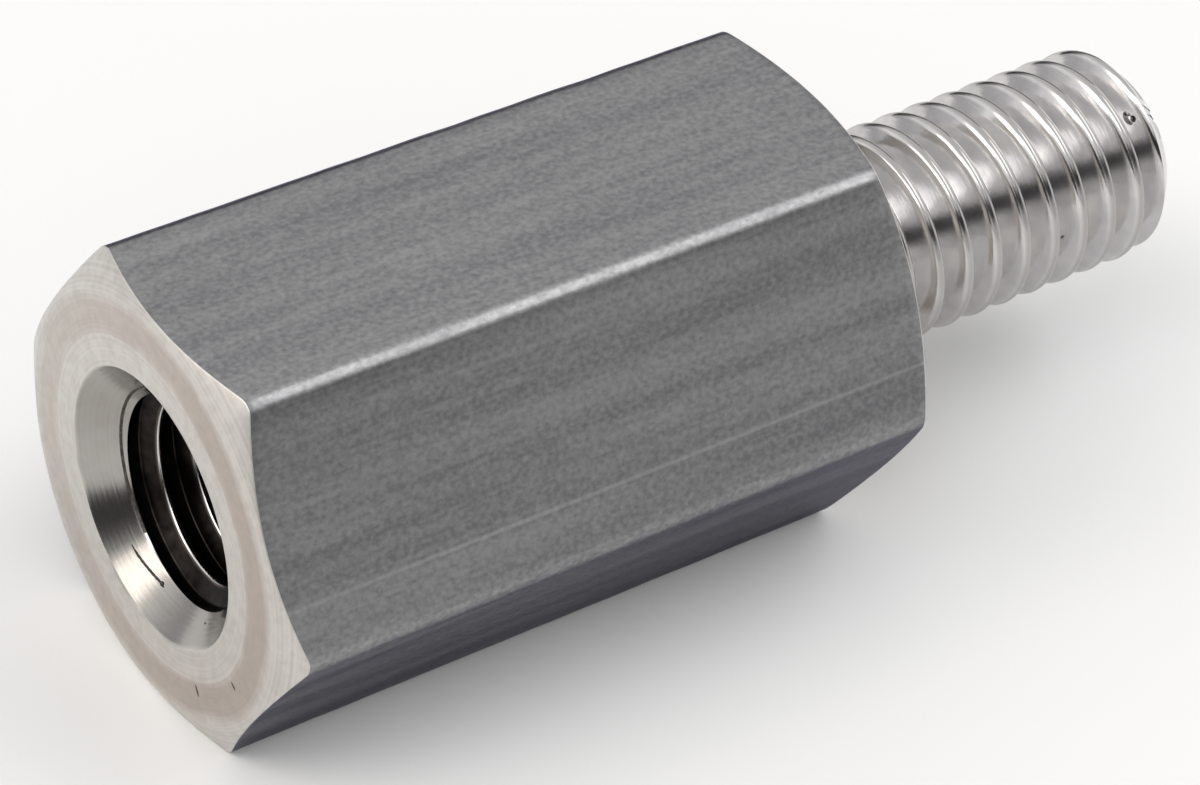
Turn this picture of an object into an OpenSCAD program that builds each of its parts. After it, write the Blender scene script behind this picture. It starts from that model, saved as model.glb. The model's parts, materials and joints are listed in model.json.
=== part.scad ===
// Male-female hex standoff: a length of hexagonal bar, tapped at one end and turned down to a stud at the other.
// Millimetres. It lies on one flat: X runs along its axis towards the stud, Z is up.
// The origin is the centre of the shoulder, where the stud leaves the body.

/* [Hexagonal body] */
// Distance across two opposite flats of the bar
across_flats = 9.525; // [8.5:0.005:14]
// Length of the body, from the tapped end face to the shoulder
body_length = 15.875; // [14:0.005:40]
// Radius of the six long edges, as the drawn bar has them
edge_radius = 0.45; // [0.1:0.05:0.8]

/* [End chamfers] */
// How far the turned chamfer reaches in from the sharp corners, on both ends
chamfer_reach = 0.85; // [0.3:0.05:1.2]
// Slope of the chamfer, measured from the end face
chamfer_angle = 27; // [15:1:45]

/* [Tapped hole] */
// Diameter of the drilled hole, which is the crest of the tapped thread
drill_diameter = 4.04; // [3:0.01:4.5]
// Depth of the full hole, from the end face to the start of the drill's point
drill_depth = 11; // [6:0.1:12]
// Angle of the drill's point
drill_point_angle = 118; // [90:1:140]
// Diameter of the countersink where it meets the end face
countersink_diameter = 6.05; // [5:0.05:6.5]
// Included angle of the countersink
countersink_angle = 90; // [60:1:120]

/* [Stud] */
// Outside diameter of the stud's thread
stud_diameter = 4.8; // [3.5:0.01:6]
// Length of the stud, from the shoulder to its tip
stud_length = 9; // [4:0.1:20]
// Distance between two turns of the thread, which sets how deep its grooves go
thread_pitch = 0.794; // [0.5:0.001:1.1]
// Slope of the tip's chamfer, measured from the end face
tip_angle = 45; // [30:1:60]

/* [Hidden] */

$fn = 96;

// Sections are drawn a little past the faces they cut
overlap = 0.5;

// Sharp corner of the hexagon, and the centre of the arc that rounds it
corner_r = across_flats / 2 / cos(30);
edge_arc_r = corner_r - edge_radius / cos(30);

// Flat part of the end faces, and how far back the chamfer starts on a sharp corner
face_r = corner_r - chamfer_reach;
turned_r = corner_r + overlap;
chamfer_back = (turned_r - face_r) * tan(chamfer_angle);

// Depth of the countersink's cone down to the drilled hole, and the cone's width just outside the end face
drill_r = drill_diameter / 2;
countersink_r = countersink_diameter / 2;
countersink_slope = tan(countersink_angle / 2);
countersink_depth = (countersink_r - drill_r) / countersink_slope;
countersink_mouth_r = countersink_r + overlap * countersink_slope;
drill_point_depth = drill_r / tan(drill_point_angle / 2);

// A 60 degree thread's groove is 0.6134 of its pitch deep, and the tip is turned down to its root
groove_depth = 0.6134 * thread_pitch;
stud_r = stud_diameter / 2;
tip_r = stud_r - groove_depth;
tip_length = groove_depth * tan(tip_angle);

// Cross-section of the drawn bar: six flats, joined by six arcs that are tangent to them
module bar_section() {
    polygon([
        for (corner = [30:60:330], side = [-30, 30])
            edge_arc_r * [cos(corner), sin(corner)]
                + edge_radius * [cos(corner + side), sin(corner + side)]
    ]);
    for (corner = [30:60:330])
        rotate(corner) translate([edge_arc_r, 0]) circle(r = edge_radius);
}

// What the lathe leaves of the bar: two faced ends, each with a shallow cone that trims the corners
module turned_envelope() {
    rotate_extrude() polygon([
        [0, 0],
        [face_r, 0],
        [turned_r, chamfer_back],
        [turned_r, body_length - chamfer_back],
        [face_r, body_length],
        [0, body_length]
    ]);
}

// Drilled and countersunk hole, entered from the end face at zero
module tapped_hole() {
    translate([0, 0, -overlap])
        cylinder(r = drill_r, h = drill_depth + overlap);
    translate([0, 0, drill_depth])
        cylinder(r1 = drill_r, r2 = 0, h = drill_point_depth);
    translate([0, 0, -overlap])
        cylinder(r1 = countersink_mouth_r, r2 = drill_r, h = countersink_depth + overlap);
}

// Threaded stud at its outside diameter, with its turned tip
module stud() {
    rotate_extrude() polygon([
        [0, body_length - overlap],
        [stud_r, body_length - overlap],
        [stud_r, body_length + stud_length - tip_length],
        [tip_r, body_length + stud_length],
        [0, body_length + stud_length]
    ]);
}

module standoff() {
    color([0.62, 0.63, 0.64])
        translate([-body_length, 0, 0])
            rotate([0, 90, 0]) {
                difference() {
                    intersection() {
                        linear_extrude(height = body_length) bar_section();
                        turned_envelope();
                    }
                    tapped_hole();
                }
                stud();
            }
}

standoff();
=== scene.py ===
# %% [markdown]
# # A hexagonal standoff, from its imported solid to a finished look
# The part is a short length of drawn hexagonal aluminium bar. A lathe has faced and chamfered both ends,
# drilled, countersunk and tapped one of them, and turned the other down to a stud with a thread cut by a
# die. The imported solid fixes every size. This lesson models the same part again with what a solid for
# fitting leaves out: both threads, broken edges, small dents, and the finishes that drawing, turning and
# cutting threads give aluminium. The first cell loads the solid, whose box later gives the sizes.

import json
import math

import bmesh
import bpy
from mathutils import Euler, Matrix, Vector, noise

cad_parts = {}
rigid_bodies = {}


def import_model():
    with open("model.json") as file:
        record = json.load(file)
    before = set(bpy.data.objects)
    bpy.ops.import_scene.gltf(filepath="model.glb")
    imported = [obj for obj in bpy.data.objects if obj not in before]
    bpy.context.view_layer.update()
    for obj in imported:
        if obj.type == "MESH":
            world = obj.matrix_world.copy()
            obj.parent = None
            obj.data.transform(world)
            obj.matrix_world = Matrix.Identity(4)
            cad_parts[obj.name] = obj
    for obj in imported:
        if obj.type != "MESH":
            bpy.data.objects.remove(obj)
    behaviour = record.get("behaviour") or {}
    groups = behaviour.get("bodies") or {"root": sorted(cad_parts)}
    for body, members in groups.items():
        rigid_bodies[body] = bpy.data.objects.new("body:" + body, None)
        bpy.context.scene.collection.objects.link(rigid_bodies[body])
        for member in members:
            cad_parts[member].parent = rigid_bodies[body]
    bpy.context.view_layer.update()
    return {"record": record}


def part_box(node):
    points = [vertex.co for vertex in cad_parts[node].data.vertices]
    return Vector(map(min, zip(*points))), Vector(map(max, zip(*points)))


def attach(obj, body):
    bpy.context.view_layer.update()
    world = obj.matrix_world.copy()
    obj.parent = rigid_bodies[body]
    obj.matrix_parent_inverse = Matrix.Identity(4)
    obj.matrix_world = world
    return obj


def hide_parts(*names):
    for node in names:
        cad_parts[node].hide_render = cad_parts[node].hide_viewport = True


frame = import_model()

# %% [markdown]
# ## Sizes
# The bar, the stud and the bore are read from the frame, so they can't drift away from the solid. A size
# that the frame doesn't give is written where it is first needed, with a name in capitals like every number
# that was chosen. All are in millimetres, the unit of a bench drawing. Blender's bevels and booleans also
# work better on a model some 25 units long than on one of 0.025, so it becomes metres only at the end. X
# runs along the axis towards the stud, Z is up, and the origin is the middle of the shoulder.

# %% Sizes in millimetres
MM = 0.001
low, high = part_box("standoff")
mounts = {mount["name"]: mount for mount in frame["record"]["mounts"]}

body_length = -low.x / MM
stud_length = high.x / MM
across_flats = (high.z - low.z) / MM
across_corners = (high.y - low.y) / MM
stud_r = mounts["stud"]["dims"]["r_mm"]
drill_r = mounts["tapped_hole"]["dims"]["r_mm"]
print(f"bar {across_flats:.3f} across flats and {across_corners:.3f} across corners, {body_length:.3f} long")
print(f"stud {2 * stud_r:.2f} thick and {stud_length:.2f} long, bore {2 * drill_r:.2f} wide")

# %% [markdown]
# ## The drawn bar's section
# Hexagonal bar is pulled through a die, which leaves six flats and six small rounded corners. A circle of
# six points is the hexagon, and a vertex bevel rounds its corners. Only the part of the hexagon outside the
# round is lost, so the width across the rounded corners, which the solid gives, says how far the bevel has
# to reach. The long sides are then cut into short ones, because the same ring of points also has to make
# clean circles.

# %% Section of the bar
SIDES = 6
CORNER_STEPS = 8
SIDE_CUTS = 24
# On a corner of 120 degrees, the middle of a bevel's arc is this share of the bevel's reach from the corner
ARC_SHARE = 1 - math.sqrt(1 / 2)

corner_r = across_flats / 2 / math.cos(math.pi / SIDES)
corner_reach = (corner_r - across_corners / 2) / ARC_SHARE

bar = bmesh.new()
hexagon = bmesh.ops.create_circle(bar, cap_ends=True, segments=SIDES, radius=corner_r)["verts"]
bmesh.ops.rotate(bar, verts=hexagon, matrix=Matrix.Rotation(math.radians(90), 3, "Y"))
bmesh.ops.bevel(bar, geom=hexagon, affect="VERTICES", offset=corner_reach, offset_type="OFFSET",
                segments=CORNER_STEPS, profile=0.5, material=-1)
long_sides = [edge for edge in bar.edges if edge.calc_length() > across_flats / 4]
bmesh.ops.subdivide_edges(bar, edges=long_sides, cuts=SIDE_CUTS)
bmesh.ops.delete(bar, geom=list(bar.faces), context="FACES_ONLY")
print("points in the section:", len(bar.verts))

# %% [markdown]
# ## Rings that grow into a body
# The lathe's cone cuts the flats in curved edges and the rounded corners in nearly straight ones. A loft
# gives these edges exactly: each point of the section is moved along the bar to where the cone meets it,
# which depends only on its distance from the axis. So the body grows from one ring of points, extruded
# again and again. One helper extrudes a ring, and the others say where its new points go: onto a circle, or
# along the bar.

# %% Helpers for the rings
CHAMFER_REACH = 0.85
CHAMFER_ANGLE = 27
face_r = corner_r - CHAMFER_REACH

def is_vert(item):
    return isinstance(item, bmesh.types.BMVert)

def is_edge(item):
    return isinstance(item, bmesh.types.BMEdge)

def radius(point):
    return math.hypot(point.y, point.z)

def chamfer_depth(point):
    """How far back from the faced end the chamfer's cone is, at this point's distance from the axis."""
    return (radius(point) - face_r) * math.tan(math.radians(CHAMFER_ANGLE))

def next_ring(mesh, edges, place):
    """Extrudes a ring of edges and puts each new point where place() says."""
    grown = bmesh.ops.extrude_edge_only(mesh, edges=edges)["geom"]
    fresh = {item for item in grown if is_vert(item)}
    for vert in fresh:
        vert.co = place(vert.co)
    return [item for item in grown if is_edge(item) and set(item.verts) <= fresh]

def at_radius(x, new_r):
    """A place() that puts a point on a circle round the axis."""
    def place(point):
        scale = new_r / radius(point)
        return Vector((x, point.y * scale, point.z * scale))
    return place

def along_bar(share):
    """A place() that puts a point of the section a share of the way from one chamfer to the other."""
    def place(point):
        depth = chamfer_depth(point)
        return Vector((-body_length + depth + share * (body_length - 2 * depth), point.y, point.z))
    return place

print(f"the faced ends reach out to {face_r:.3f}, the bar's sharp corners would reach {corner_r:.3f}")

# %% [markdown]
# ## The ring that the tap rubbed
# As the tap went in, its outside rubbed a narrow ring part of the way round the countersink. It is only a
# few hundredths of a millimetre deep, but it catches the light, and most of it later gets a dark fill that
# stands for grime and paints the shade in the groove. So the cone is lofted in very close steps, and those
# near the ring are sunk a little, less and less towards the ring's two ends.

# %% Countersink and its rubbed ring
COUNTERSINK_R = 3.025
CONE_STEP = 0.0125
RUB_R = 2.335
RUB_WIDTH = 0.045
RUB_DEPTH = 0.03
RUB_ANGLES = (128, 262)
RUB_FADE = 12

def cone_steps(outer, inner):
    """Radii down the countersink's cone, as close as the rubbed ring needs them."""
    count = round((outer - inner) / CONE_STEP)
    return [outer - (outer - inner) * step / count for step in range(1, count + 1)]

def angle_of(point):
    """The angle round the axis, in degrees, from -Y, the near side, over the top at 90."""
    return math.degrees(math.atan2(point.z, -point.y)) % 360

def rub_share(point):
    """How strongly the tap's outside has rubbed the cone at this angle, from 0 to 1."""
    past_end = max(RUB_ANGLES[0] - angle_of(point), angle_of(point) - RUB_ANGLES[1], 0)
    return max(0, 1 - past_end / RUB_FADE)

def down_cone(cone_r):
    """A place() that puts a point on the countersink's cone, sunk where the tap has rubbed it."""
    rub = RUB_DEPTH * max(0, 1 - abs(cone_r - RUB_R) / (RUB_WIDTH / 2))
    def place(point):
        depth = COUNTERSINK_R - cone_r + rub * rub_share(point)
        scale = cone_r / radius(point)
        return Vector((-body_length + depth, point.y * scale, point.z * scale))
    return place

print("steps down the countersink as far as the bore:", len(cone_steps(COUNTERSINK_R, drill_r)))

# %% [markdown]
# ## The body
# The first ring is the edge between the bar and its near chamfer. It is extruded inwards, over the chamfer,
# the faced end and the countersink, and once more from the start, along the bar and over the shoulder. Many
# short rings along the bar let its corners carry the faint waves of real stock. A small face closes each
# end, where the bore and the stud will swallow it.

# %% Loft of the body
BAR_RINGS = 80
CORE_R = 1.2

for vert in bar.verts:
    vert.co = along_bar(0)(vert.co)
near_edge = list(bar.edges)

ring = next_ring(bar, near_edge, at_radius(-body_length, face_r))
near_face_edge = list(ring)
ring = next_ring(bar, ring, at_radius(-body_length, COUNTERSINK_R))
rim = list(ring)
for cone_r in cone_steps(COUNTERSINK_R, CORE_R):
    ring = next_ring(bar, ring, down_cone(cone_r))
bmesh.ops.contextual_create(bar, geom=ring)

ring = near_edge
for step in range(1, BAR_RINGS + 1):
    ring = next_ring(bar, ring, along_bar(step / BAR_RINGS))
far_edge = list(ring)
ring = next_ring(bar, ring, at_radius(0, face_r))
far_face_edge = list(ring)
ring = next_ring(bar, ring, at_radius(0, CORE_R))
bmesh.ops.contextual_create(bar, geom=ring)
print("faces in the body:", len(bar.faces))

# %% [markdown]
# ## Waves along the corners
# The corners of drawn bar are never quite straight: the die and later handling leave them a hundredth of a
# millimetre or two low here and there. That is too little to see as a shape, but it breaks up the long
# highlight. Smooth noise along the bar pushes only the points of the rounded corners inwards, so the part
# grows nowhere.

# %% Waves along the corners
WAVE_LENGTH = 1.1
WAVE_DEPTH = 0.03
WAVE_START_R = 5.3
# How far apart in the noise two corners are, so that no two have the same waves
CORNER_APART = 7

def wave(vert):
    """How far a point is pushed inwards, from nothing on a flat to the most on the crown of a corner."""
    share = min(max((radius(vert.co) - WAVE_START_R) / (across_corners / 2 - WAVE_START_R), 0), 1)
    corner = round(math.atan2(vert.co.z, vert.co.y) / (math.tau / SIDES))
    low_spot = 0.5 + 0.5 * noise.noise(Vector((vert.co.x / WAVE_LENGTH, CORNER_APART * corner, 0)))
    return WAVE_DEPTH * share * low_spot ** 2

print("deepest wave, mm:", round(max(wave(vert) for vert in bar.verts), 3))
for vert in bar.verts:
    inwards = 1 - wave(vert) / radius(vert.co)
    vert.co.y *= inwards
    vert.co.z *= inwards

# %% [markdown]
# ## Broken edges
# No edge off a lathe is perfectly sharp. Each is broken by a few hundredths of a millimetre, and that
# narrow band is what catches the light as a fine line. A small bevel on the turned edges does it.

# %% Broken edges of the body
EDGE_BREAK = 0.035
turned_edges = near_edge + near_face_edge + rim + far_edge + far_face_edge
bmesh.ops.bevel(bar, geom=turned_edges, affect="EDGES", offset=EDGE_BREAK, offset_type="OFFSET",
                segments=2, profile=0.5, material=-1, clamp_overlap=True)
bmesh.ops.recalc_face_normals(bar, faces=bar.faces)
print("faces with broken edges:", len(bar.faces), "open edges:", sum(edge.is_boundary for edge in bar.edges))

# %% [markdown]
# ## A helper for both threads
# A screw thread is one small profile swept along a helix. Spin turns a profile about an axis and, with a
# step along it, climbs as it turns: turning Z towards -Y while climbing along +X makes the thread
# right-handed. One turn of one pitch is enough. Every other turn is a copy of it one pitch further along,
# which is far quicker than one long spin, and merging the doubles closes the seams between neighbours.

# %% Screw helper
THREAD_PITCH = 0.794
STEPS_A_TURN = 120
# Points closer than this are one point
MERGE = 0.0005

def screw(profile, crest_x, low_x, high_x):
    """A right-handed helical surface, whole between two places along X, with a crest at crest_x on +Z.
    profile is one pitch of (x, radius) points, measured from the middle of a crest."""
    mesh = bmesh.new()
    turns_before = math.ceil((crest_x - low_x) / THREAD_PITCH) + 1
    turns = turns_before + math.ceil((high_x - crest_x) / THREAD_PITCH) + 1
    first_x = crest_x - turns_before * THREAD_PITCH
    points = [mesh.verts.new((first_x + x, 0, r)) for x, r in profile]
    line = [mesh.edges.new(pair) for pair in zip(points, points[1:])]
    # The turn ends a pitch further along than it began, so unlike a closed spin it isn't merged with itself
    bmesh.ops.spin(mesh, geom=points + line, cent=(0, 0, 0), axis=(1, 0, 0),
                   dvec=(THREAD_PITCH / STEPS_A_TURN, 0, 0), angle=math.tau, steps=STEPS_A_TURN)
    first_turn = list(mesh.verts) + list(mesh.edges) + list(mesh.faces)
    for turn in range(1, turns):
        copy = bmesh.ops.duplicate(mesh, geom=first_turn)["geom"]
        moved = [item for item in copy if is_vert(item)]
        bmesh.ops.translate(mesh, verts=moved, vec=(turn * THREAD_PITCH, 0, 0))
    bmesh.ops.remove_doubles(mesh, verts=mesh.verts, dist=MERGE)
    return mesh

print("one step of a turn of the stud, mm:", round(math.tau * stud_r / STEPS_A_TURN, 3))

# %% [markdown]
# ## Helpers to trim and to turn
# A mesh for a boolean has to be closed, so a screw is cut off square at both ends and each cut is filled.
# Points that the cut left almost on one another are merged first, because slivers trouble the boolean.
# Another helper turns an outline about the axis, as a lathe would.

# %% Trim and turn helpers
CUT_SLACK = MERGE / 100
CUT_MERGE = 20 * MERGE

def set_radius(vert, new_r):
    """Moves a point straight towards or away from the axis, to this distance."""
    scale = new_r / radius(vert.co)
    vert.co.y *= scale
    vert.co.z *= scale

def trim(mesh, x, side):
    """Cuts a mesh square across the axis, keeps what is on one side and closes the cut."""
    everything = list(mesh.verts) + list(mesh.edges) + list(mesh.faces)
    bmesh.ops.bisect_plane(mesh, geom=everything, dist=CUT_SLACK, plane_co=(x, 0, 0),
                           plane_no=(side, 0, 0), clear_inner=True)
    at_cut = [vert for vert in mesh.verts if abs(vert.co.x - x) < MERGE]
    bmesh.ops.remove_doubles(mesh, verts=at_cut, dist=CUT_MERGE)
    rim_edges = [edge for edge in mesh.edges
                 if edge.is_boundary and all(abs(vert.co.x - x) < MERGE for vert in edge.verts)]
    bmesh.ops.holes_fill(mesh, edges=rim_edges)

def turned(outline):
    """A solid of revolution about X, from (x, radius) points that start and end on the axis."""
    mesh = bmesh.new()
    points = [mesh.verts.new((x, 0, r)) for x, r in outline]
    line = [mesh.edges.new(pair) for pair in zip(points, points[1:])]
    bmesh.ops.spin(mesh, geom=points + line, cent=(0, 0, 0), axis=(1, 0, 0),
                   angle=math.tau, steps=STEPS_A_TURN, use_merge=True)
    bmesh.ops.remove_doubles(mesh, verts=mesh.verts, dist=MERGE)
    bmesh.ops.recalc_face_normals(mesh, faces=mesh.faces)
    return mesh

# %% [markdown]
# ## The stud's thread
# The stud has 32 turns to the inch, cut by a die into a blank of the thread's outside diameter. Both flanks
# lean 30 degrees from square and nearly meet at the root. The crest is neither sharp nor flat but round, as
# soft aluminium leaves a die. So the profile runs up to a sharp apex above the blank, and that one edge is
# bevelled round. How high the round crest then stands is measured, because the next step needs it.

# %% Stud thread
GROOVE_SHARE = 0.6134
FLANK_ANGLE = 30
CREST_ROUND = 0.173
STUD_CREST_X = 0.57
STUD_START = -0.5

flank_slope = math.tan(math.radians(FLANK_ANGLE))
groove_depth = GROOVE_SHARE * THREAD_PITCH
root_r = stud_r - groove_depth
apex_r = stud_r + CREST_ROUND
flank = (apex_r - root_r) * flank_slope

stud_profile = [
    (0, apex_r),
    (flank, root_r),
    (THREAD_PITCH - flank, root_r),
    (THREAD_PITCH, apex_r),
]
stud = screw(stud_profile, STUD_CREST_X, STUD_START, stud_length + THREAD_PITCH)
print("faces in the stud's thread:", len(stud.faces), "root's flat:", round(THREAD_PITCH - 2 * flank, 3))

# %% Round crest of the stud thread
# Only the apex is folded by more than this many degrees
APEX_FOLD = 80
CREST_STEPS = 8
# The apex stays sharp at the mesh's open ends, so the crest is measured from here to the tip
WHOLE_FROM = 1

apex = [edge for edge in stud.edges
        if not edge.is_boundary and edge.calc_face_angle() > math.radians(APEX_FOLD)]
bmesh.ops.bevel(stud, geom=apex, affect="EDGES", offset=CREST_ROUND / flank_slope, offset_type="OFFSET",
                segments=CREST_STEPS, profile=0.5, material=-1)
crest_r = max(radius(vert.co) for vert in stud.verts if WHOLE_FROM < vert.co.x < stud_length)
print(f"the crest came out at {crest_r:.3f}, and the blank is {stud_r:.3f}")

# %% [markdown]
# ## Run-out, ends and blank
# Now the thread gets its real size: its crest lies on the blank, and its root is cut to full depth. Next to
# the shoulder the die's lead can't cut that deep, so there a smooth step along the axis lets the groove run
# out into plain stud. The blank has the turned cone of the tip. It is wider than the thread everywhere
# else, so that what the two have in common is the thread with its tip cut.

# %% Run-out and blank
RUNOUT_START = 0.35
RUNOUT_END = 1.5
BLANK_START = -0.7
BLANK_MARGIN = 0.3

def smoothstep(value):
    value = min(max(value, 0), 1)
    return value * value * (3 - 2 * value)

depth_share = groove_depth / (crest_r - root_r)
for vert in stud.verts:
    cut = smoothstep((vert.co.x - RUNOUT_START) / (RUNOUT_END - RUNOUT_START))
    set_radius(vert, stud_r + (radius(vert.co) - crest_r) * depth_share * cut)
trim(stud, STUD_START, 1)
trim(stud, stud_length + THREAD_PITCH / 2, -1)
bmesh.ops.recalc_face_normals(stud, faces=stud.faces)
print("faces trimmed:", len(stud.faces), "open edges:", sum(edge.is_boundary for edge in stud.edges))

blank = turned([
    (BLANK_START, 0),
    (BLANK_START, stud_r + BLANK_MARGIN),
    (stud_length - groove_depth - BLANK_MARGIN, stud_r + BLANK_MARGIN),
    (stud_length, root_r),
    (stud_length, 0),
])
print("faces in the blank:", len(blank.faces))

# %% [markdown]
# ## The tapped bore
# A tap cuts the matching groove into the wall of a drilled hole, so inside the hole the drilled wall is
# left standing as narrow flat ridges. The tool that takes this much away is itself a screw: the drill's
# cylinder with the tap's teeth on it, fading out above the bottom where the tap's tapered end stops, and
# the drill's point. Cutting it out of the body lets the first groove break through the countersink at the
# right place by itself.

# %% Tap
TAP_R = 2.415
TAP_FLAT = 0.27
TAP_CREST_DEPTH = 0.435
TAP_OVERLAP = 0.4
DRILL_DEPTH = 11
# Only the corners of the tap's teeth are folded by more than this many degrees
TOOTH_FOLD = 20
RIDGE_BREAK = 0.03

tap_flank = (TAP_R - drill_r) * flank_slope
ridge_flat = THREAD_PITCH - TAP_FLAT - 2 * tap_flank
tap_start = -body_length - TAP_OVERLAP
tap_bottom = -body_length + DRILL_DEPTH

tap_profile = [
    (-TAP_FLAT / 2, TAP_R),
    (TAP_FLAT / 2, TAP_R),
    (TAP_FLAT / 2 + tap_flank, drill_r),
    (TAP_FLAT / 2 + tap_flank + ridge_flat, drill_r),
    (THREAD_PITCH - TAP_FLAT / 2, TAP_R),
]
tap = screw(tap_profile, -body_length + TAP_CREST_DEPTH, tap_start, tap_bottom)
tooth_corners = [edge for edge in tap.edges
                 if not edge.is_boundary and edge.calc_face_angle() > math.radians(TOOTH_FOLD)]
bmesh.ops.bevel(tap, geom=tooth_corners, affect="EDGES", offset=RIDGE_BREAK, offset_type="OFFSET",
                segments=2, profile=0.5, material=-1)
print("faces in the tap's teeth:", len(tap.faces), "flat of the ridges:", round(ridge_flat, 3))

# %% Where the tap stops, and the drill's point
TAP_FULL = 8.5
TAP_END = 9.6
DRILL_POINT_ANGLE = 118

for vert in tap.verts:
    depth = vert.co.x + body_length
    cut = 1 - smoothstep((depth - TAP_FULL) / (TAP_END - TAP_FULL))
    set_radius(vert, drill_r + (radius(vert.co) - drill_r) * cut)
trim(tap, tap_start, 1)
trim(tap, tap_bottom, -1)
bottom = [face for face in tap.faces if all(abs(vert.co.x - tap_bottom) < MERGE for vert in face.verts)]
point_height = drill_r / math.tan(math.radians(DRILL_POINT_ANGLE / 2))
for vert in bmesh.ops.poke(tap, faces=bottom)["verts"]:
    vert.co = (tap_bottom + point_height, 0, 0)
bmesh.ops.recalc_face_normals(tap, faces=tap.faces)
print("faces in the cutter:", len(tap.faces), "open edges:", sum(edge.is_boundary for edge in tap.edges))

# %% [markdown]
# ## Small dents
# A part that has lain in a box of others has a few marks: two nicks on the faced end, a scratch and two
# specks in the countersink, a pit on the thread, and a dent and a flattened edge where the stud's tip has
# been knocked. Each is cut by small stretched balls, placed along the bar, by distance from the axis, and
# by the angle round it from -Y, the near side, upwards to +Z. An old mark gets a dark fill, which stands for
# grime and paints the shade in its small hollow, so its place is kept for the finishes; a fresh knock shows
# bare metal.

# %% Cutters for the dents
dents = bmesh.new()
dent_places = []

def on_part(x, r, angle):
    turn = math.radians(angle)
    return Vector((x, -r * math.cos(turn), r * math.sin(turn)))

def cone_x(r):
    """Where along X the countersink's cone has this radius."""
    return -body_length + COUNTERSINK_R - r

def dent(x, r, angle, size, grimy_and_shaded=True):
    """One cutter. size is its half lengths along X, round the axis and outwards."""
    along, around, outwards = size
    shape = Matrix.Diagonal((along, outwards, around, 1))
    turn = Matrix.Rotation(math.radians(-angle), 4, "X")
    matrix = Matrix.Translation(on_part(x, r, angle)) @ turn @ shape
    bmesh.ops.create_icosphere(dents, subdivisions=3, radius=1, matrix=matrix)
    # A mark kept here gets the dark fill: grime, with painted shade in its hollow
    if grimy_and_shaded:
        dent_places.append(matrix.inverted())

# Two nicks on the faced end, two specks in the countersink, and the scratch with a pit at its end
dent(-body_length, 3.91, 302, (0.035, 0.035, 0.14))
dent(-body_length, 3.95, 329, (0.03, 0.035, 0.10))
dent(cone_x(2.36), 2.36, 319, (0.03, 0.05, 0.03))
dent(cone_x(2.58), 2.58, 307, (0.025, 0.05, 0.025))
for step in range(8):
    scratch_r = 2.602 - 0.0125 * step
    dent(cone_x(scratch_r), scratch_r, 243 + 2.85 * step, (0.02, 0.18, 0.02))
dent(cone_x(2.51), 2.51, 264.5, (0.05, 0.06, 0.05))

# A pit on the thread, then the dent and the flattened edge at the stud's tip
dent(5.83, 2.05, -4.8, (0.055, 0.055, 0.055))
dent(8.27, 2.05, 60, (0.15, 0.17, 0.09), grimy_and_shaded=False)
dent(8.34, 2.13, 58.2, (0.06, 0.08, 0.07))
dent(8.98, 1.97, 54.6, (0.26, 0.11, 0.15), grimy_and_shaded=False)
dent(8.95, 1.99, 58.5, (0.24, 0.17, 0.10), grimy_and_shaded=False)
dent(8.92, 2.01, 63.1, (0.20, 0.22, 0.06), grimy_and_shaded=False)
print("faces in the dents' cutters:", len(dents.faces))

# %% [markdown]
# ## Put together
# Booleans do what the tools did. The thread is cut off by the tip's cone, the stud is joined to the body
# inside the shoulder, and the tap and the dents are taken out. Each operand is a closed mesh, so the quick
# Manifold solver can work on them. The result is one closed skin, as the real part is one piece of metal.

# %% Booleans
def to_object(mesh, name):
    data = bpy.data.meshes.new(name)
    mesh.to_mesh(data)
    mesh.free()
    piece = bpy.data.objects.new(name, data)
    bpy.context.scene.collection.objects.link(piece)
    return piece

def combine(piece, mesh, operation):
    """Applies one boolean to a piece, with a mesh that is used up by it."""
    other = to_object(mesh, "operand")
    modifier = piece.modifiers.new("boolean", "BOOLEAN")
    modifier.operation = operation
    modifier.solver = "MANIFOLD"
    modifier.object = other
    graph = bpy.context.evaluated_depsgraph_get()
    data = bpy.data.meshes.new_from_object(piece.evaluated_get(graph))
    piece.modifiers.remove(modifier)
    piece.data = data
    bpy.data.objects.remove(other)
    print(operation.lower(), "gives", len(data.polygons), "faces")

stud_piece = to_object(stud, "stud")
combine(stud_piece, blank, "INTERSECT")
finished_stud = bmesh.new()
finished_stud.from_mesh(stud_piece.data)
bpy.data.objects.remove(stud_piece)

standoff = to_object(bar, "hex_standoff")
combine(standoff, finished_stud, "UNION")
combine(standoff, tap, "DIFFERENCE")
combine(standoff, dents, "DIFFERENCE")

# %% [markdown]
# ## Where each finish lies
# The part has five finishes, and each follows from where a face is and which way it looks. What faces
# straight out of the bar is the drawn skin, and beyond the shoulder lies the thread, up to the faced tip.
# On the countersink's cone the metal was turned, and the ring that the tap rubbed gets the dark fill of
# grime and painted shade, as old dents do. Deeper in, the edges of the ridges that look out of the mouth get
# the thread's bright metal as a painted highlight, and the rest is the oily bore, darkened as painted shade.
# Edges sharper than 32 degrees stay crisp, and everything else is shaded smoothly.

# %% Rules for the finishes
DRAWN, TURNED, THREAD, SHADED_BORE, GRIME_AND_SHADE = range(5)
# A cutter's ball has a radius of 1 in its own space, and a face that it cut lies within this
ON_BALL = 1.03
# How far off the countersink's cone a face may be, in millimetres and in the lean of its normal
ON_CONE = 0.01
CONE_LEAN = 0.05
# The angle past which the ring that the tap rubbed has no dark fill of grime and painted shade
GRIME_AND_SHADE_END = 238
# How much of a normal is along X where the drawn skin ends, and where a ridge looks out of the bore and gets
# its painted highlight
SKIN_LEAN = 0.15
EDGE_LEAN = 0.2

def in_dent(face):
    """Whether a face lies on one of the cutters, which it does when all of its corners do."""
    return any(all((place @ vert.co).length < ON_BALL for vert in face.verts) for place in dent_places)

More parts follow.
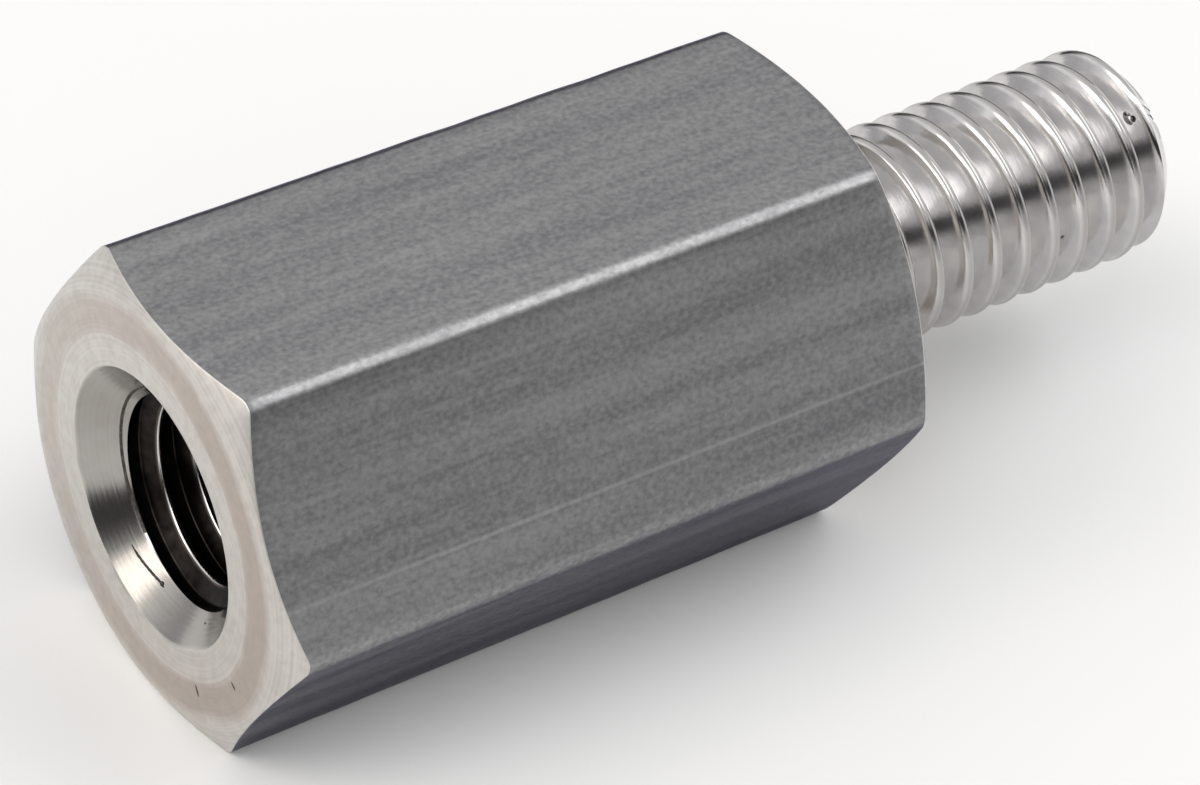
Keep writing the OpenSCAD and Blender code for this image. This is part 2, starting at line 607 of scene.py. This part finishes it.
def on_countersink(face, middle, r):
    """Whether a face lies on the countersink's cone, or where the tap or the rim's broken edge has worn it.
    A flank of the tapped groove can be as near to the cone, but it is steeper."""
    off_cone = abs(middle.x - cone_x(r))
    level = off_cone < ON_CONE and abs(face.normal.x + math.sqrt(1 / 2)) < CONE_LEAN
    in_ring = abs(r - RUB_R) < RUB_WIDTH and rub_share(middle) > 0
    worn = off_cone < 2 * RUB_DEPTH and (in_ring or r > COUNTERSINK_R - 2 * EDGE_BREAK)
    return r > drill_r + MERGE and (level or worn)

def in_rubbed_ring(middle, r):
    return abs(r - RUB_R) < RUB_WIDTH / 2 and rub_share(middle) > 0.5 and angle_of(middle) < GRIME_AND_SHADE_END

def finish_of(face):
    middle = face.calc_center_median()
    r = radius(middle)
    # Old dents get the dark fill of grime and painted shade
    if in_dent(face):
        return GRIME_AND_SHADE
    if middle.x > stud_length - MERGE:
        return TURNED
    if middle.x > MERGE and r < stud_r + MERGE:
        return THREAD
    if r > COUNTERSINK_R + MERGE:
        return DRAWN if abs(face.normal.x) < SKIN_LEAN else TURNED
    if middle.x > -MERGE:
        return TURNED
    if on_countersink(face, middle, r):
        # The rubbed ring gets the dark fill: grime, with painted shade in its groove
        return GRIME_AND_SHADE if in_rubbed_ring(middle, r) else TURNED
    # Edges of the ridges that face the mouth get the thread's bright metal: a painted highlight where the
    # light comes in
    if r < drill_r + RIDGE_BREAK and face.normal.x < -EDGE_LEAN:
        return THREAD
    return SHADED_BORE

# %% Skin with its finishes
CRISP = 32
# A face whose normal is this nearly along X is part of a flat end, and is shaded flat
SQUARE = 0.9995

skin = bmesh.new()
skin.from_mesh(standoff.data)
bmesh.ops.remove_doubles(skin, verts=skin.verts, dist=MERGE / 5)
bmesh.ops.dissolve_degenerate(skin, dist=MERGE / 5, edges=skin.edges)
bmesh.ops.recalc_face_normals(skin, faces=skin.faces)
for face in skin.faces:
    face.smooth = abs(face.normal.x) < SQUARE
    face.material_index = finish_of(face)
for edge in skin.edges:
    edge.smooth = edge.calc_face_angle(0) < math.radians(CRISP)
bmesh.ops.scale(skin, vec=(MM, MM, MM), verts=skin.verts)
counts = [sum(face.material_index == finish for face in skin.faces) for finish in range(5)]
print("faces drawn, turned, threaded, bored and grimy:", counts)
print("open edges:", sum(not edge.is_manifold for edge in skin.edges))
print("volume, mm3:", round(skin.calc_volume() / MM ** 3, 1))
standoff.data = bpy.data.meshes.new("hex_standoff")
skin.to_mesh(standoff.data)
skin.free()

# %% [markdown]
# ## Helpers for materials
# Colours are written as sRGB hex, as a colour picker shows them, and one function makes them linear for the
# shader. Another adds a node, sets its properties and fills its inputs, each with a value or with the
# output that feeds it. Every pattern starts from Object coordinates, and a Mapping node turns metres into
# grains of a real size. Much on a turned part depends on the distance from its axis, so one helper measures
# that.

# %% Helpers for nodes
# A Mix node mixes its inputs 2 and 3 into its output 0, but where it mixes colours these are 6, 7 and 2
MIX_A, MIX_B, MIXED = 6, 7, 2

def colour(code):
    """An sRGB hex colour as linear red, green, blue and alpha."""
    shares = [int(code[start:start + 2], 16) / 255 for start in (1, 3, 5)]
    linear = [share / 12.92 if share <= 0.04045 else ((share + 0.055) / 1.055) ** 2.4 for share in shares]
    return linear + [1]

def fill(tree, node, sockets):
    """Gives each of a node's inputs, by name or number, a value or the output that feeds it."""
    for key, value in sockets.items():
        if isinstance(value, bpy.types.NodeSocket):
            tree.links.new(value, node.inputs[key])
        else:
            node.inputs[key].default_value = value

def add(tree, kind, sockets, stops=(), **settings):
    """Adds a node with its settings, fills its inputs and gives its outputs.
    stops are a colour ramp's places, from 0 to 1, with their colours."""
    node = tree.nodes.new("ShaderNode" + kind)
    for name, value in settings.items():
        setattr(node, name, value)
    fill(tree, node, sockets)
    for _ in stops[2:]:
        node.color_ramp.elements.new(1)
    for index, (place, code) in enumerate(stops):
        node.color_ramp.elements[index].position = place
        node.color_ramp.elements[index].color = colour(code)
    return node.outputs

print("middle grey, #808080, is", round(colour("#808080")[0], 3), "of the light")

# %% Helpers for materials
def new_material(name):
    """A material, with its node tree, its shader and the Object coordinates that its patterns start from."""
    material = bpy.data.materials.new(name)
    material.use_nodes = True
    tree = material.node_tree
    return material, tree, tree.nodes["Principled BSDF"], add(tree, "TexCoord", {})["Object"]

def grains(*sizes):
    """Mapping scales that give a pattern grains of these sizes in millimetres along X, Y and Z."""
    return [1 / (size * MM) for size in sizes]

def distance_from(tree, place, line=(0, 0)):
    """Millimetres from the line along the bar at this Y and Z, or from the axis if none is given."""
    across = add(tree, "Mapping", {"Vector": place, "Scale": (0, 1 / MM, 1 / MM)})["Vector"]
    return add(tree, "VectorMath", {0: across, 1: (0, *line)}, operation="DISTANCE")["Value"]

print("scale for grains of 0.1 mm:", round(grains(0.1)[0]))

# %% [markdown]
# ## Drawn aluminium
# The flats are as they left the drawing die: plain, unpolished aluminium, dulled by a thin oxide. Close to,
# the skin is finely grained, and over the grain lie faint streaks that the die dragged along the bar, some
# a tenth and some half a millimetre wide. A speck in the die has scored a light line along the near flat.
# Colour carries most of it, with a little change in gloss and slope. The real grain is finer than a pixel,
# so it is drawn near a tenth of a millimetre, as coarse as it needs to show. A grey specular tint takes the
# flash off metal seen at a low angle, as oxide does. Handling has polished the crowns of the long corners
# in patches, which gives them their bright line.

# %% Grain and streaks of the drawn aluminium
drawn, tree, shader, place = new_material("drawn_aluminium")
at_grain = add(tree, "Mapping", {"Vector": place, "Scale": grains(0.13, 0.11, 0.11)})["Vector"]
grain = add(tree, "TexNoise", {"Vector": at_grain, "Scale": 1, "Detail": 2})["Fac"]
at_lines = add(tree, "Mapping", {"Vector": place, "Scale": grains(4, 0.1, 0.1)})["Vector"]
lines = add(tree, "TexNoise", {"Vector": at_lines, "Scale": 1, "Detail": 2})["Fac"]
at_bands = add(tree, "Mapping", {"Vector": place, "Scale": grains(12, 0.6, 0.6)})["Vector"]
bands = add(tree, "TexNoise", {"Vector": at_bands, "Scale": 1, "Detail": 1})["Fac"]
streaks = add(tree, "Mix", {0: 0.6, 2: lines, 3: bands})[0]
tone = add(tree, "Mix", {0: 0.5, 2: grain, 3: streaks})[0]

relief = add(tree, "Bump", {"Height": lines, "Strength": 0.1, "Distance": 0.004 * MM})["Normal"]
sockets = {"Height": grain, "Strength": 0.25, "Distance": 0.004 * MM, "Normal": relief}
fill(tree, shader, {"Metallic": 1, "Normal": add(tree, "Bump", sockets)["Normal"]})
print("nodes for the grain and the streaks:", len(tree.nodes))

# %% Colour of the drawn aluminium
# The die's scored line, across the axis along Y and Z, with how far to each side it is full and has faded
DIE_LINE = (-4.862, 1.104)
LINE_FULL = 0.02
LINE_GONE = 0.06

colour_of_tone = [(0.36, "#777779"), (0.64, "#989898")]
drawn_skin = add(tree, "ValToRGB", {"Fac": tone}, stops=colour_of_tone)["Color"]
from_line = distance_from(tree, place, DIE_LINE)
sockets = {"Value": from_line, "From Min": LINE_FULL, "From Max": LINE_GONE, "To Min": 0.24, "To Max": 0}
die_line = add(tree, "MapRange", sockets)["Result"]
sockets = {0: die_line, MIX_A: drawn_skin, MIX_B: colour("#c4c4c4")}
drawn_skin = add(tree, "Mix", sockets, data_type="RGBA")[MIXED]
fill(tree, shader, {"Base Color": drawn_skin, "Specular Tint": colour("#9a98a8")})
print("the die's line is", round(math.hypot(*DIE_LINE), 2), "mm from the axis")

# %% Gloss of the drawn aluminium
# Distances from the axis at which a corner's polished crown starts and is complete
CROWN_START = 5.402
CROWN_FULL = 5.426
POLISHED = 0.2

from_axis = distance_from(tree, place)
sockets = {"Value": from_axis, "From Min": CROWN_START, "From Max": CROWN_FULL}
on_corner = add(tree, "MapRange", sockets)["Result"]
at_rubs = add(tree, "Mapping", {"Vector": place, "Scale": grains(0.8, 0.4, 0.4)})["Vector"]
rubs = add(tree, "TexNoise", {"Vector": at_rubs, "Scale": 1, "Detail": 2})["Fac"]
sockets = {"Value": rubs, "From Min": 0.4, "From Max": 0.6, "To Min": 0.4}
handled = add(tree, "MapRange", sockets)["Result"]
handled = add(tree, "Math", {0: handled, 1: on_corner}, operation="MULTIPLY")[0]
sockets = {"Value": streaks, "From Min": 0.3, "From Max": 0.7, "To Min": 0.34, "To Max": 0.43}
satin = add(tree, "MapRange", sockets)["Result"]
gloss = add(tree, "Mix", {0: handled, 2: satin, 3: POLISHED})[0]
fill(tree, shader, {"Roughness": gloss})
print("nodes in the drawn aluminium:", len(tree.nodes))

# %% [markdown]
# ## Turned aluminium
# The faced ends, chamfers and countersink were cut by a tool that fed across while the bar turned, so all
# their marks are circles, and the distance from the axis alone gives them. A real mark is near 0.02 mm
# wide; these are 0.07 mm, to show. The faced end also has three rings: a bright one by the countersink, a
# duller beige one where the tool had begun to rub, and a bright one out to the corners. On the faced ends
# the rings are mixed towards a pale grey on the far side, +Y, so the beige ring is fainter there, and
# another tool left the countersink darker and glossier than the faces. The shoulder and the tip have no
# countersink, so there the pattern stops at its first bright ring.

# %% Rings of the turned aluminium
# Distance from the axis in millimetres, and the colour there
RING_TONES = [
    (0.0, "#a9a6a2"),
    (2.98, "#a9a6a2"),
    (3.06, "#d2cec9"),
    (3.66, "#d2cec9"),
    (3.84, "#bab0a8"),
    (4.38, "#bab0a8"),
    (4.58, "#d0ccc7"),
    (5.5, "#d0ccc7"),
]

# Least distance that counts at the shoulder and the tip, which have no countersink
FACED_R = 3.2
# How far the rings wander in and out
WANDER = 0.3

turned_metal, tree, shader, place = new_material("turned_aluminium")
from_axis = distance_from(tree, place)
spot = add(tree, "SeparateXYZ", {0: place})
sockets = {"Value": spot["X"], "From Min": -2 * MM, "From Max": -1 * MM, "To Max": FACED_R}
least = add(tree, "MapRange", sockets)["Result"]
face_place = add(tree, "Math", {0: from_axis, 1: least}, operation="MAXIMUM")[0]
on_face = add(tree, "MapRange", {"Value": face_place, "From Min": 3.0, "From Max": 3.08})["Result"]

at_wander = add(tree, "Mapping", {"Vector": place, "Scale": grains(2, 1.5, 1.5)})["Vector"]
wander = add(tree, "TexNoise", {"Vector": at_wander, "Scale": 1, "Detail": 2})["Fac"]
wander = add(tree, "Math", {0: wander, 1: 0.5}, operation="SUBTRACT")[0]
ring_r = add(tree, "Math", {0: wander, 1: WANDER, 2: face_place}, operation="MULTIPLY_ADD")[0]
ramp_end = RING_TONES[-1][0]
stops = [(r / ramp_end, code) for r, code in RING_TONES]
ring_place = add(tree, "Math", {0: ring_r, 1: ramp_end}, operation="DIVIDE")[0]
rings = add(tree, "ValToRGB", {"Fac": ring_place}, stops=stops)["Color"]
print("colours from the axis outwards:", len(RING_TONES))

# %% Paler far side, marks and gloss of the turned aluminium
MARK_WIDTH = 0.07

# On the faced ends the rings turn paler towards +Y, the far side
sockets = {"Value": spot["Y"], "From Min": -2 * MM, "From Max": 4 * MM, "To Max": 0.5}
paler_far_side = add(tree, "MapRange", sockets)["Result"]
paler_far_side = add(tree, "Math", {0: paler_far_side, 1: on_face}, operation="MULTIPLY")[0]
sockets = {0: paler_far_side, MIX_A: rings, MIX_B: colour("#d4d1cc")}
rings = add(tree, "Mix", sockets, data_type="RGBA")[MIXED]

mark_place = add(tree, "Math", {0: from_axis, 1: 1 / MARK_WIDTH}, operation="MULTIPLY")[0]
sockets = {"W": mark_place, "Scale": 1, "Detail": 1}
marks = add(tree, "TexNoise", sockets, noise_dimensions="1D")["Fac"]
sockets = {"Vector": place, "Scale": grains(0.25, 0.25, 0.25), "Rotation": (0.5, 0.6, 0.7)}
at_cloud = add(tree, "Mapping", sockets)["Vector"]
cloud = add(tree, "TexNoise", {"Vector": at_cloud, "Scale": 1, "Detail": 4})["Fac"]
tone = add(tree, "Mix", {0: 0.6, 2: marks, 3: cloud})[0]
sockets = {"Value": tone, "From Min": 0.4, "From Max": 0.65, "To Max": 0.3}
dulled = add(tree, "MapRange", sockets)["Result"]
sockets = {0: dulled, MIX_A: rings, MIX_B: colour("#9a928b")}
turned_colour = add(tree, "Mix", sockets, data_type="RGBA")[MIXED]
gloss = add(tree, "MapRange", {"Value": on_face, "To Min": 0.2, "To Max": 0.42})["Result"]
relief = add(tree, "Bump", {"Height": marks, "Strength": 0.3, "Distance": 0.005 * MM})["Normal"]
fill(tree, shader, {"Metallic": 1, "Base Color": turned_colour, "Roughness": gloss, "Normal": relief})
print("nodes in the turned aluminium:", len(tree.nodes))

# %% [markdown]
# ## Die-cut thread
# The stud's flanks were sheared by the die with oil, which leaves aluminium much brighter than the drawn
# skin: nearly a mirror, with faint scoring along the helix and slightly uneven gloss. Scoring along a fine
# thread is so nearly a circle that it can be drawn from the distance along the axis alone. The very top of
# the crest is what is left of the blank's own surface, so it is a little duller.

# %% Die-cut thread
SCORE_WIDTH = 0.04
# How far below the blank's surface the crest's dull top begins, and where it is dull all over
CREST_EDGE = 0.05
CREST_TOP = 0.01

thread_metal, tree, shader, place = new_material("die_cut_aluminium")
along = add(tree, "SeparateXYZ", {0: place})["X"]
score_place = add(tree, "Math", {0: along, 1: 1 / (SCORE_WIDTH * MM)}, operation="MULTIPLY")[0]
sockets = {"W": score_place, "Scale": 1, "Detail": 2}
scores = add(tree, "TexNoise", sockets, noise_dimensions="1D")["Fac"]
at_cloud = add(tree, "Mapping", {"Vector": place, "Scale": grains(0.5, 0.6, 0.6)})["Vector"]
cloud = add(tree, "TexNoise", {"Vector": at_cloud, "Scale": 1, "Detail": 4})["Fac"]
tint = add(tree, "ValToRGB", {"Fac": cloud}, stops=[(0.3, "#d5d3d1"), (0.7, "#c2c0c1")])["Color"]
from_axis = distance_from(tree, place)
sockets = {"Value": from_axis, "From Min": stud_r - CREST_EDGE, "From Max": stud_r - CREST_TOP}
on_crest = add(tree, "MapRange", {**sockets, "To Max": 0.75})["Result"]
sockets = {0: on_crest, MIX_A: tint, MIX_B: colour("#a09d9a")}
tint = add(tree, "Mix", sockets, data_type="RGBA")[MIXED]
sockets = {"Value": cloud, "From Min": 0.3, "From Max": 0.7, "To Min": 0.12, "To Max": 0.2}
gloss = add(tree, "MapRange", sockets)["Result"]
relief = add(tree, "Bump", {"Height": scores, "Strength": 0.2, "Distance": 0.004 * MM})["Normal"]
sockets = {"Height": cloud, "Strength": 0.3, "Distance": 0.02 * MM, "Normal": relief}
relief = add(tree, "Bump", sockets)["Normal"]
fill(tree, shader, {"Metallic": 1, "Base Color": tint, "Roughness": gloss, "Normal": relief})
print("nodes in the thread's aluminium:", len(tree.nodes))

# %% [markdown]
# ## Tapped bore
# Inside the hole the drill has left the ridges smooth, while the tap's grooves keep a brown film of cutting
# oil and fine swarf. The distance from the axis tells one from the other. Both colours are also made dark to
# paint the shade deep in the hole, the grooves darkest. The smooth ridges then mirror the dark bore, and
# only shine where they happen to face the opening.

# %% Tapped bore
# How far out from a ridge the film and its painted shade start, and where they cover everything
FILM_EDGE = 0.02
FILM_FULL = 0.08

shaded_bore_metal, tree, shader, place = new_material("oiled_tapped_aluminium")
sockets = {"From Min": drill_r + FILM_EDGE, "From Max": drill_r + FILM_FULL}
in_groove = add(tree, "MapRange", {"Value": distance_from(tree, place), **sockets})["Result"]
at_film = add(tree, "Mapping", {"Vector": place, "Scale": grains(0.3, 0.3, 0.3)})["Vector"]
film = add(tree, "TexNoise", {"Vector": at_film, "Scale": 1, "Detail": 4})["Fac"]
# The ridges' and the grooves' colours are dark as painted shade in the hole; the grooves' also stand for the
# oil film
oil_and_shade_tones = [(0.3, "#35302d"), (0.7, "#1b1817")]
film_and_shade_colour = add(tree, "ValToRGB", {"Fac": film}, stops=oil_and_shade_tones)["Color"]
sockets = {0: in_groove, MIX_A: colour("#6f665d"), MIX_B: film_and_shade_colour}
bore_and_shade_colour = add(tree, "Mix", sockets, data_type="RGBA")[MIXED]
gloss = add(tree, "MapRange", {"Value": in_groove, "To Min": 0.14, "To Max": 0.3})["Result"]
fill(tree, shader, {"Metallic": 1, "Base Color": bore_and_shade_colour, "Roughness": gloss})
print("nodes in the bore's aluminium:", len(tree.nodes))

# %% [markdown]
# ## Grime and painted shade in the marks
# A small nick or scratch on a bright part gets a dull dark film. It stands for the grease and metal dust
# that settle in it, and it also paints the shade in its small hollow. It isn't metal to the eye.

# %% Grime and painted shade
grime_and_shade, tree, shader, place = new_material("grease_and_dust")
at_dust = add(tree, "Mapping", {"Vector": place, "Scale": grains(0.08, 0.08, 0.08)})["Vector"]
dust = add(tree, "TexNoise", {"Vector": at_dust, "Scale": 1, "Detail": 2})["Fac"]
# Dark brown-grey, for grease and dust and for the painted shade in the hollows
grease_and_shade = add(tree, "ValToRGB", {"Fac": dust}, stops=[(0.35, "#2a2522"), (0.65, "#5e5650")])["Color"]
fill(tree, shader, {"Metallic": 0, "Base Color": grease_and_shade, "Roughness": 0.5})
print("nodes in the grime:", len(tree.nodes))

# %% [markdown]
# ## The piece and the frame
# The five materials go into the slots that the faces were given. The piece then rides on the part's one
# body, and the imported solid that it stands for is hidden.

# %% The piece in the frame
for material in (drawn, turned_metal, thread_metal, shaded_bore_metal, grime_and_shade):
    standoff.data.materials.append(material)
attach(standoff, "root")
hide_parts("standoff")
print("triangles:", sum(len(polygon.vertices) - 2 for polygon in standoff.data.polygons))

# %% [markdown]
# ## Camera
# A long lens keeps the perspective gentle, even this close to so small a part. The camera looks down past
# the tapped end along the bar, from a little over 40 degrees above level, and is tipped by a few degrees.
# Its place is worked out from the middle of the tapped end: so far back along the view, then so far right
# and up across it.

# %% Camera
AZIMUTH = -38.78
ELEVATION = 41.04
ROLL = 6.81
DISTANCE = 96.55
SLIDE_RIGHT = 9.0
SLIDE_UP = 2.335
LENS = 144.9

upright = Euler((math.radians(90 - ELEVATION), 0, math.radians(AZIMUTH)), "XYZ").to_matrix()
right, up, back = (upright @ Matrix.Rotation(math.radians(ROLL), 3, "Z")).col
tapped_end = Vector((-body_length, 0, 0))
stand = tapped_end + back * DISTANCE + right * SLIDE_RIGHT + up * SLIDE_UP

camera_data = bpy.data.cameras.new("camera")
camera_data.lens = LENS
camera_data.sensor_width = 36
camera_data.clip_start = 5 * MM
camera = bpy.data.objects.new("camera", camera_data)
camera.matrix_world = Matrix.Translation(stand * MM) @ Matrix((right, up, back)).transposed().to_4x4()
bpy.context.scene.collection.objects.link(camera)
bpy.context.scene.camera = camera
print("camera stands at", [round(value, 4) for value in camera.location])

# %% [markdown]
# ## Floor and surroundings
# Metal has hardly any look of its own: it shows what is around it. The floor is white paper, wide enough to
# reach the horizon, and the room is white where the camera or a reflection looks at it. The room lights
# matt surfaces less, so that it and the lamps together come to a plain level, at which a colour renders
# about as it is written.

# %% Floor and world
FLOOR_REACH = 3
AMBIENT = 0.63

floor_mesh = bmesh.new()
bmesh.ops.create_grid(floor_mesh, x_segments=1, y_segments=1, size=FLOOR_REACH)
bmesh.ops.translate(floor_mesh, verts=floor_mesh.verts, vec=(0, 0, low.z))
floor = to_object(floor_mesh, "floor")
paper, tree, shader, place = new_material("white_paper")
fill(tree, shader, {"Base Color": colour("#fbfbfb"), "Roughness": 1, "Specular IOR Level": 0})
floor.data.materials.append(paper)
print("the floor lies at", round(low.z / MM, 3), "mm")

world = bpy.data.worlds.new("white_room")
world.use_nodes = True
bpy.context.scene.world = world
tree = world.node_tree
ray = add(tree, "LightPath", {})
seen = add(tree, "Math", {0: ray["Is Camera Ray"], 1: ray["Is Glossy Ray"]}, operation="MAXIMUM")[0]
seen = add(tree, "Math", {0: seen, 1: ray["Is Transmission Ray"]}, operation="MAXIMUM")[0]
strength = add(tree, "MapRange", {"Value": seen, "To Min": AMBIENT, "To Max": 1})["Result"]
fill(tree, tree.nodes["Background"], {"Color": (1, 1, 1, 1), "Strength": strength})
# A colour comes out as it was written, without the soft curve of Blender's usual view
bpy.context.scene.view_settings.view_transform = "Standard"
print("nodes in the white room:", len(tree.nodes))

# %% [markdown]
# ## Softboxes
# Three oval softboxes stand round the part. One high on the right draws the bright line along the long edge
# and the glow on the thread, one above the camera lights the thread's leaning flanks, and one on the left
# beyond the tapped end, a little warmer, lights the lower side of the countersink. Metal mirrors a lamp, so
# what matters is how wide it looks from the part and how bright its surface is, and the helper works out
# the watts.

# %% Softboxes
LAMP_DISTANCE = 0.7

def towards(azimuth, elevation):
    """A direction from the part: azimuth 0 is +X and 90 is +Y."""
    flat = math.cos(math.radians(elevation))
    turn = math.radians(azimuth)
    return Vector((flat * math.cos(turn), flat * math.sin(turn), math.sin(math.radians(elevation))))

def softbox(name, way, wide, high, brightness, tint):
    """An oval lamp that looks wide by high degrees from the part. brightness 1 is that of white paper."""
    data = bpy.data.lights.new(name, "AREA")
    data.shape = "ELLIPSE"
    data.size = 2 * LAMP_DISTANCE * math.tan(math.radians(wide / 2))
    data.size_y = 2 * LAMP_DISTANCE * math.tan(math.radians(high / 2))
    # A lamp that is as bright as white paper gives pi watts for each square metre of it
    data.energy = brightness * math.pi * math.pi * data.size * data.size_y / 4
    data.color = colour(tint)[:3]
    lamp = bpy.data.objects.new(name, data)
    turn = way.to_track_quat("Z", "Y").to_matrix().to_4x4()
    lamp.matrix_world = Matrix.Translation(way * LAMP_DISTANCE) @ turn
    bpy.context.scene.collection.objects.link(lamp)
    print(name, round(data.size, 3), "by", round(data.size_y, 3), "m,", round(data.energy, 2), "W")

softbox("side_softbox", towards(-22, 56), 44, 32, 1.6, "#ffffff")
softbox("top_softbox", towards(-150, 57), 34, 24, 2.6, "#ffffff")
softbox("rear_softbox", towards(164, 40), 34, 37, 2.3, "#fff7ee")

# %% [markdown]
# ## Flags
# In a white room alone, every facet of a metal part would look the same, so grey cards are put up for it to
# mirror. Each is curved round the part and shaded from foot to top. The front one gives the near flat its
# tone and puts the dark streak in the thread, the left one darkens one side of the countersink, and the two
# behind shade the far upper side of the thread. They are seen only in reflections and take no light from
# the scene.

# %% Flags
FLAG_DISTANCE = 0.55
FLAG_STEPS = 32

def flag(name, azimuths, tones):
    """A curved card that only reflections see, from one azimuth to another.
    tones are elevations, from its foot to its top, with the card's colour at each."""
    heights = [FLAG_DISTANCE * math.tan(math.radians(elevation)) for elevation, code in tones]
    tall = heights[-1] - heights[0]
    foot = towards(azimuths[0], 0) * FLAG_DISTANCE
    card = bmesh.new()
    ends = [card.verts.new((foot.x, foot.y, height)) for height in (heights[0], heights[-1])]
    side = card.edges.new(ends)
    bmesh.ops.spin(card, geom=ends + [side], cent=(0, 0, 0), axis=(0, 0, 1),
                   angle=math.radians(azimuths[1] - azimuths[0]), steps=FLAG_STEPS)

    cloth = bpy.data.materials.new(name + "_cloth")
    cloth.use_nodes = True
    tree = cloth.node_tree
    tree.nodes.clear()
    place = add(tree, "TexCoord", {})["Object"]
    height = add(tree, "SeparateXYZ", {0: place})["Z"]
    sockets = {"Value": height, "From Min": heights[0], "From Max": heights[-1]}
    share = add(tree, "MapRange", sockets)["Result"]
    stops = [((z - heights[0]) / tall, code) for z, (elevation, code) in zip(heights, tones)]
    shade = add(tree, "ValToRGB", {"Fac": share}, stops=stops)["Color"]
    glow = add(tree, "Emission", {"Color": shade})[0]
    add(tree, "OutputMaterial", {"Surface": glow})

    piece = to_object(card, name)
    piece.data.materials.append(cloth)
    for ray in ("camera", "diffuse", "transmission", "volume_scatter", "shadow"):
        setattr(piece, "visible_" + ray, False)
    print(name, "is", round(tall, 2), "m tall and spans", azimuths[1] - azimuths[0], "degrees")

front_tones = [(0, "#e6e6e6"), (11, "#e2e2e2"), (22, "#444446"), (33, "#444446"), (41, "#d8d8d8")]
flag("front_flag", (-130, -44), front_tones)
flag("left_flag", (-180, -130), [(0, "#2a2a2c"), (20, "#2a2a2c"), (27, "#d0d0d0")])
flag("back_flag", (30, 100), [(0, "#484849"), (10, "#505052"), (18, "#949496"), (27, "#fcfcfc")])
flag("side_flag", (100, 142), [(0, "#b8b8ba"), (8, "#bebec0"), (20, "#ececec")])
